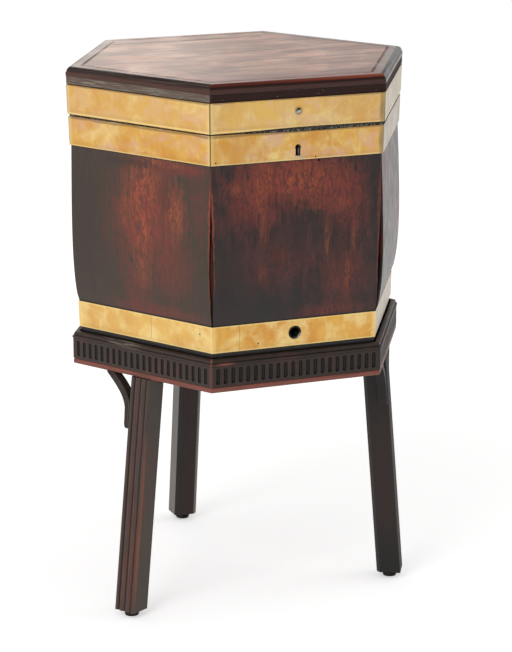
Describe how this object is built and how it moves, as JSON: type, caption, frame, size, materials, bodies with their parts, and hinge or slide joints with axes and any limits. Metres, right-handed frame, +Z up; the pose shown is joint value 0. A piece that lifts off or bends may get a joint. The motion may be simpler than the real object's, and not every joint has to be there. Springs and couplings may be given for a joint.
{
  "type": "cellarette",
  "caption": "Hexagonal brass-bound wooden wine cooler with a hinged lid, standing in a fluted stand on splayed, bracketed legs.",
  "frame": {"origin": "on the floor, under the middle of the whole outline; the hexagon is centred 17.8 mm in front of it", "axes": "+Z up, the front side with the keyhole faces -Y, +X to the right seen from the front"},
  "size_m": [0.463, 0.4384, 0.6934],
  "materials": {
    "case_wood": "old polished mahogany, satin",
    "lid_wood": "polished mahogany with a soft sheen",
    "stand_wood": "dark worn mahogany, satin",
    "bead_wood": "worn reddish mahogany",
    "brass": "uneven, lightly tarnished, satin",
    "lining_metal": "dull grey sheet",
    "steel": "satin",
    "iron": "dull"
  },
  "bodies": {
    "stand": {"stand_rail_front": "stand_wood", "stand_rail_front_right": "stand_wood", "stand_rail_back_right": "stand_wood", "stand_rail_back": "stand_wood", "stand_rail_back_left": "stand_wood", "stand_rail_front_left": "stand_wood", "stand_bead": "bead_wood", "stand_rim": "stand_wood", "leg_front_right": "stand_wood", "glide_front_right": "iron", "bracket_front_right_left": "stand_wood", "leg_back": "stand_wood", "glide_back": "iron", "bracket_back_left": "stand_wood", "leg_front_left": "stand_wood", "glide_front_left": "iron", "bracket_front_left_left": "stand_wood", "bracket_front_right_right": "stand_wood", "bracket_back_right": "stand_wood", "bracket_front_left_stub": "stand_wood"},
    "case": {"case_side_front": "case_wood", "case_side_front_right": "case_wood", "case_side_back_right": "case_wood", "case_side_back": "case_wood", "case_side_back_left": "case_wood", "case_side_front_left": "case_wood", "case_band_front": "brass", "case_band_front_right": "brass", "case_band_back_right": "brass", "case_band_back": "brass", "case_band_back_left": "brass", "case_band_front_left": "brass", "case_foot_band": "brass", "case_floor": "case_wood", "case_lining": "lining_metal", "drain_bush": "iron", "lock_case": "steel", "hinge_leaf_case_left": "brass", "hinge_leaf_case_right": "brass"},
    "lid": {"lid_board": "lid_wood", "lid_frame": "case_wood", "lid_band_front": "brass", "lid_band_front_right": "brass", "lid_band_back_right": "brass", "lid_band_back": "brass", "lid_band_back_left": "brass", "lid_band_front_left": "brass", "lid_stud": "steel", "lock_strike": "steel", "hinge_leaf_lid_left": "brass", "hinge_leaf_lid_right": "brass"},
    "lock_bolt": {"lock_bolt": "steel"}
  },
  "joints": [
    {"name": "case_lift", "type": "slide", "parent": "stand", "child": "case", "axis": [0, 0, 1], "range_m": [0, 0.06]},
    {"name": "lid_hinge", "type": "hinge", "parent": "case", "child": "lid", "pos_m": [0, 0.18496, 0.63225], "axis": [-1, 0, 0], "range_deg": [0, 100]},
    {"name": "lock_bolt_slide", "type": "slide", "parent": "case", "child": "lock_bolt", "axis": [0, 0, 1], "range_m": [0, 0.007]}
  ]
}
